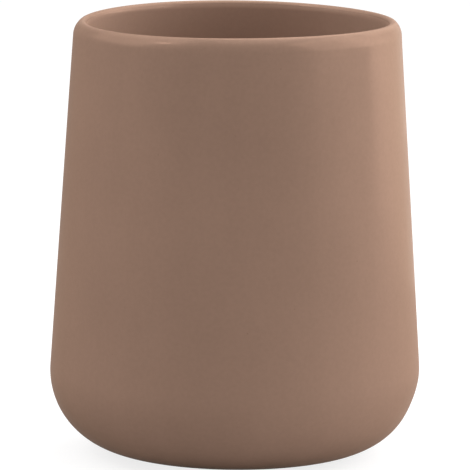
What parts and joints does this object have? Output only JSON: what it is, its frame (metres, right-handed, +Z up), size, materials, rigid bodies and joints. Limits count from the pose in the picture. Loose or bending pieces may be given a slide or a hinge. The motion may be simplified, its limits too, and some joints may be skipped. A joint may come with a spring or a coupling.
{
  "type": "bathroom tumbler",
  "caption": "Matte glazed ceramic bathroom tumbler: a cup with a straight wall that tapers to a soft rounded lip, a large round heel and soft pads under a recessed foot.",
  "frame": {"origin": "on the surface that the tumbler stands on, under the cup's axis", "axes": "+Z up along the cup's axis of revolution, from the base pads to the lip; +X and +Y lie midway between neighbouring pads"},
  "size_m": [0.085, 0.085, 0.1],
  "materials": {
    "glaze": "matte",
    "pad_foam": "matte",
    "adhesive_film": "satin"
  },
  "bodies": {
    "root": {"tumbler_body": "glaze", "base_pad_1": "pad_foam", "base_pad_2": "pad_foam", "base_pad_3": "pad_foam", "base_pad_4": "pad_foam", "pad_adhesive_1": "adhesive_film", "pad_adhesive_2": "adhesive_film", "pad_adhesive_3": "adhesive_film", "pad_adhesive_4": "adhesive_film"}
  },
  "joints": []
}
